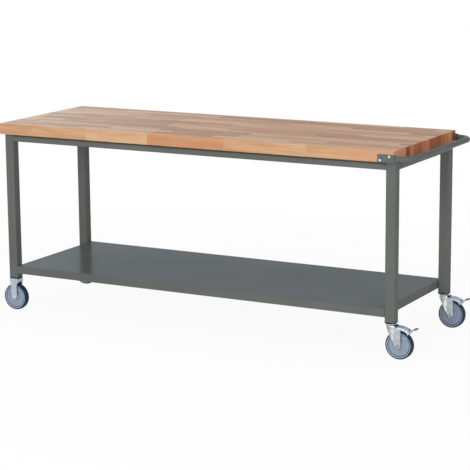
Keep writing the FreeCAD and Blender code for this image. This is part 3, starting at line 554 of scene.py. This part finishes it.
def makeForks():
    look = forkLook
    x, y, inwardX, inwardY = forkPlan(look)
    wall, roof = forkWall(look, x, y, inwardX, inwardY), forkRoof(look, x, y)
    for corner in swivelCorners:
        lowest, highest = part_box(f"{corner}_fork")
        axis = np.array([lowest[0] + look["front"] / 1000, (lowest[1] + highest[1]) / 2, 0.0])
        fork = addPiece(f"fork{camel(corner)}", [wall / 1000 + axis, roof / 1000 + axis], "zinc_steel",
                        f"{corner}_caster", f"{corner}_fork", capped=[True, False])
        fork.data.materials[0] = forkPlate
        shinyForks.objects.link(fork)


# Push handle
handleLook = {
    "tube": 0.0125, "bend": 0.066, "plateHalf": 0.0025, "plateTall": 0.017, "plateSquare": 14.0,
    "bevel": 0.0006, "plateFrom": 0.006, "neckFrom": 0.0015, "neckLength": 0.017,
    "around": 48, "plateSteps": 6, "neckSteps": 12, "bendSteps": 28, "barSteps": 5,
}


def makeHandle():
    # Superellipse |a|^n + |b|^n = 1 carried along a U: thin, tall and square on the plates, round on the
    # tube, with a smooth step between. The second half is the first one mirrored front to back.
    look = handleLook
    tube, bend = look["tube"], look["bend"]
    low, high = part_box("push_handle")
    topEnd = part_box("worktop")[1][0]
    bar, across, level = high[0] - tube, high[1] - tube, (low[2] + high[2]) / 2
    bendAt = bar - bend
    plate = np.concatenate([[low[0], low[0] + look["bevel"]],
                            np.linspace(low[0] + look["plateFrom"], topEnd, look["plateSteps"]),
                            np.linspace(topEnd + look["neckFrom"], bendAt, look["neckSteps"])])
    turn = np.linspace(0, np.pi / 2, look["bendSteps"])[1:]
    cross = np.linspace(bend - across, 0, look["barSteps"])[1:]
    x = np.concatenate([plate, bendAt + bend * np.sin(turn), 0 * cross + bar])
    y = np.concatenate([0 * plate - across, bend * (1 - np.cos(turn)) - across, cross])
    heading = np.concatenate([0 * plate, turn, 0 * cross + np.pi / 2])
    run = np.concatenate([plate, bendAt + bend * turn, 0 * cross + bar])
    step = np.clip((run - topEnd - look["neckFrom"]) / look["neckLength"], 0, 1)
    roundness = step * step * (3 - 2 * step)
    bevel = np.where(run <= low[0], look["bevel"], 0.0)
    thick = look["plateHalf"] + (tube - look["plateHalf"]) * roundness - bevel
    tall = look["plateTall"] + (tube - look["plateTall"]) * roundness - bevel
    power = (2 / (look["plateSquare"] + (2 - look["plateSquare"]) * np.sqrt(roundness)))[:, None]
    angle = np.linspace(0, 2 * np.pi, look["around"], endpoint=False)[None, :] + np.pi / look["around"]
    side = np.sign(np.cos(angle)) * np.abs(np.cos(angle)) ** power * thick[:, None]
    rise = np.sign(np.sin(angle)) * np.abs(np.sin(angle)) ** power * tall[:, None]
    ahead, aside = np.sin(heading)[:, None], np.cos(heading)[:, None]
    half = np.stack([x[:, None] + side * ahead, y[:, None] - side * aside, level + rise], -1)
    grid = np.concatenate([half, half[-2::-1] * (1, -1, 1)])
    addPiece("pushHandle", [grid], "frame_paint", "bench", "push_handle")


# Handle screws
screwLook = {  # millimetres: radius, height above the plate; then the socket's half flats and heights
    "rows": [(3.6, -40.0), (4.0, -39.0), (4.0, 0.0), (6.5, 0.0), (6.5, 0.9), (6.1, 1.9), (5.2, 2.8),
             (4.2, 3.4)],
    "socket": 2.5, "socketBevel": 0.25, "socketTaper": 0.98, "socketTop": 3.6, "socketFloor": 1.6,
    "plate": 5.0, "spots": [(18.0, 8.0), (60.0, -8.0)],  # from the worktop's end, above the handle's middle
    "around": 48,
}


def makeHandleScrews():
    # Rows of circles from the tip up over the head; the last rows are a hexagon, whose radius is the half
    # flats over the cosine of the angle from the nearest flat.
    look = screwLook
    angle = np.linspace(0, 2 * np.pi, look["around"], endpoint=False)[None, :]
    hexagon = look["socket"] / np.cos(np.mod(angle, np.pi / 3) - np.pi / 6)
    rows = np.array(look["rows"])
    top, bevel = look["socketTop"], look["socketBevel"]
    radius = np.concatenate([rows[:, :1] + 0 * angle, hexagon + bevel, hexagon,
                             hexagon * look["socketTaper"]])
    height = np.concatenate([rows[:, 1], [top, top - bevel, look["socketFloor"]]])[:, None]
    low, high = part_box("push_handle")
    level = (low[2] + high[2]) / 2
    topLow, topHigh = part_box("worktop")
    grids = []
    for way, face in ((-1, topLow[1]), (1, topHigh[1])):
        shape = np.stack([radius * np.cos(angle), way * height + 0 * angle, radius * np.sin(angle)], -1)
        for inward, rise in look["spots"]:
            spot = (topHigh[0] - inward / 1000, face + way * look["plate"] / 1000, level + rise / 1000)
            grids.append(np.array(spot) + shape / 1000)
    addPiece("handleScrews", grids, "zinc_steel", "bench", "handle_screws", sharp=30.0)


# Pedal pads
padLook = {
    "ribs": 4, "ribDepth": 0.0009, "ribSteps": 60, "endSoft": 0.0012, "endFrom": 0.25, "endSteps": 6,
    "thick": 0.0035, "drop": 0.0027,
}


def makePads():
    # Side outline of the pad, its upper edge waved by a raised cosine for the ribs, carried across the pedal;
    # the outline shrinks towards its middle on a quarter circle at each end.
    look = padLook
    soft = look["endSoft"]
    along = np.linspace(0, 1, look["ribSteps"])
    wave = (1 - np.cos(2 * np.pi * look["ribs"] * along)) / 2
    quarter = np.linspace(look["endFrom"], 1, look["endSteps"]) * np.pi / 2
    inset = soft * (1 - np.cos(quarter))
    scale = np.concatenate([np.sin(quarter), np.sin(quarter)[::-1]])[:, None, None]
    for corner in swivelCorners:
        low, high = (np.array(spot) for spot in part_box(f"{corner}_pedal_pad"))
        x = low[0] + (high[0] - low[0]) * along
        under = low[2] + look["drop"] * along
        over = under + look["thick"] - look["ribDepth"] * (1 - wave)
        outline = np.stack([np.concatenate([x, x[::-1]]), np.concatenate([under, over[::-1]])], -1)
        middle = outline.mean(0)
        y = np.concatenate([low[1] + soft - inset[::-1], high[1] - soft + inset])
        half = (high - low)[[0, 2]] / 2
        shrunk = middle + (outline - middle) * (1 - (1 - scale) * soft / half)
        grid = np.stack([shrunk[..., 0], y[:, None] + 0 * shrunk[..., 0], shrunk[..., 1]], -1)
        addPiece(f"pedalPad{camel(corner)}", [grid], "pedal_plastic", f"{corner}_brake",
                 f"{corner}_pedal_pad")


# Welds between legs and top rails
weldLook = {
    "radius": 0.0036, "ripple": 0.0005, "pitch": 0.0026, "wall": 0.003, "gap": 0.0012, "ends": 0.35,
    "steps": 60, "arcSteps": 9,
}


def makeWelds():
    # Quarter round in the corner between leg and rail, run down the rail; its radius ripples with the height
    # and shrinks at both ends.
    look = weldLook
    wall, gap = look["wall"], look["gap"]
    arc = np.linspace(0, np.pi / 2, look["arcSteps"])[None, :]
    grids = []
    for rail in sides:
        low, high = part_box(f"{rail}_rail")
        z = np.linspace(low[2] + gap, high[2] - wall - gap, look["steps"])[:, None]
        taper = np.minimum(1, np.minimum(z - z[0], z[-1] - z) / look["radius"] + look["ends"])
        radius = (look["radius"] + look["ripple"] * np.sin(2 * np.pi * z / look["pitch"])) * taper
        along, out = (np.concatenate([0 * radius, radius * reach], 1)
                      for reach in (np.cos(arc), np.sin(arc)))
        lengthwise = rail in ("front", "rear")
        axis = 1 if lengthwise else 0
        inner = low[axis] + wall + out if rail in ("front", "left") else high[axis] - wall - out
        for end, turn in ((low, 1), (high, -1)):
            run = end[1 - axis] + turn * along
            flat = (run, inner) if lengthwise else (inner, run)
            grids.append(np.stack([*flat, z + 0 * along], -1))
    addPiece("railWelds", grids, "frame_paint", "bench")


makeWheels()
makeForks()
makeHandle()
makeHandleScrews()
makePads()
makeWelds()
print("pieces made")

# Stage
stageLook = {
    "floor": 30.0, "white": (0.94, 0.94, 0.94, 1.0), "pure": (1.0, 1.0, 1.0, 1.0), "ambient": 0.55,
    "near": 1.3, "far": 3.2, "stretch": 0.5, "glow": 0.93,
    "mirrored": (0.74, 0.86, 1.0, 1.0), "mirroredFloor": 0.55,  # the room as shiny surfaces show it
}


def viewRays(flow):
    names = ("Is Camera Ray", "Is Glossy Ray", "Is Transmission Ray")
    return [flow.node("ShaderNodeLightPath", out=name) for name in names]


def makeFloor():
    # Matt white near the bench, where the shadow falls, and glowing white for the camera further out, by a
    # smooth step over the distance from the middle, so that it meets the backdrop. Reflections see less glow.
    look = stageLook
    material, shader, flow = startMaterial("floorWhite")
    camera, glossy, transmission = viewRays(flow)
    seen = camera.larger(transmission).larger(glossy * look["mirroredFloor"])
    matt = flow.node("ShaderNodeBsdfDiffuse", None, {"Color": look["white"]})
    glow = flow.node("ShaderNodeEmission", None, {"Color": look["pure"], "Strength": 1.0})
    x, y = split(flow, objectSpot(flow))[:2]
    distance = (x * x * look["stretch"] + y * y).maths("SQRT")
    away = distance.between(look["near"], look["far"], look["glow"], 1.0)
    surface = flow.node("ShaderNodeMixShader", None, {0: seen * away, 1: matt, 2: glow})
    flow.tree.links.new(surface.link, flow.tree.nodes["Material Output"].inputs["Surface"])
    half = look["floor"]
    spots = [(-half, -half, 0), (half, -half, 0), (half, half, 0), (-half, half, 0)]
    mesh = bpy.data.meshes.new("floor")
    mesh.from_pydata(spots, [], [(0, 1, 2, 3)])
    mesh.materials.append(material)
    floor = bpy.data.objects.new("floor", mesh)
    bpy.context.scene.collection.objects.link(floor)


def makeBackdrop():
    # White for the camera, tinted where shiny surfaces mirror it, and dimmer as light on the bench.
    look = stageLook
    world = bpy.data.worlds.new("studio")
    world.use_nodes = True
    bpy.context.scene.world = world
    flow = Flow(world.node_tree)
    camera, glossy, transmission = viewRays(flow)
    seen = camera.larger(glossy).larger(transmission)
    feed(flow, world.node_tree.nodes["Background"], Color=glossy.mix(look["pure"], look["mirrored"]),
         Strength=seen * (1.0 - look["ambient"]) + look["ambient"])


lampLook = {  # place, aim, width, watts
    "key": ((-0.8, -8.4, 4.0), (0.0, 0.0, 0.5), 4.4, 284.0),
    "fill": ((9.0, -7.6, 1.8), (0.0, 0.0, 0.5), 4.6, 560.0),
    "low": ((1.0, -9.0, 1.2), (0.0, 0.0, 0.5), 3.0, 80.0),
    "window": ((-5.0, 4.2, 3.2), (-0.6, 0.0, 0.9), 2.4, 26.0),
    "glint": ((-4.6, -6.0, 0.45), (0.9, 0.0, 0.1), 0.9, 420.0),  # a strip of shine on the forks alone
}


def makeLamps():
    for name, (spot, aim, width, watts) in lampLook.items():
        lamp = bpy.data.lights.new(name, "AREA")
        lamp.size, lamp.energy = width, watts
        thing = bpy.data.objects.new(name, lamp)
        thing.location = spot
        thing.rotation_euler = (Vector(aim) - Vector(spot)).to_track_quat("-Z", "Y").to_euler()
        bpy.context.scene.collection.objects.link(thing)
        if name == "glint":
            thing.light_linking.receiver_collection = shinyForks


cameraLook = {  # eye in metres, heading, dip and tilt in degrees, focal length and sensor in millimetres
    "eye": (3.825095, -7.011509, 2.018921), "heading": 28.456, "dip": 11.486, "tilt": 0.428,
    "lens": 134.843, "sensor": 36.0, "farthest": 100.0,
}


def makeCamera():
    look = cameraLook
    camera = bpy.data.cameras.new("camera")
    camera.sensor_width, camera.lens, camera.clip_end = look["sensor"], look["lens"], look["farthest"]
    thing = bpy.data.objects.new("camera", camera)
    heading, dip, tilt = (math.radians(look[name]) for name in ("heading", "dip", "tilt"))
    thing.matrix_world = (Matrix.Translation(look["eye"]) @ Matrix.Rotation(heading, 4, "Z")
                          @ Matrix.Rotation(math.pi / 2 - dip, 4, "X") @ Matrix.Rotation(-tilt, 4, "Z"))
    bpy.context.scene.collection.objects.link(thing)
    bpy.context.scene.camera = thing


makeFloor()
makeBackdrop()
makeLamps()
makeCamera()
bpy.context.scene.view_settings.view_transform = "Standard"
print("stage, lamps and camera set")
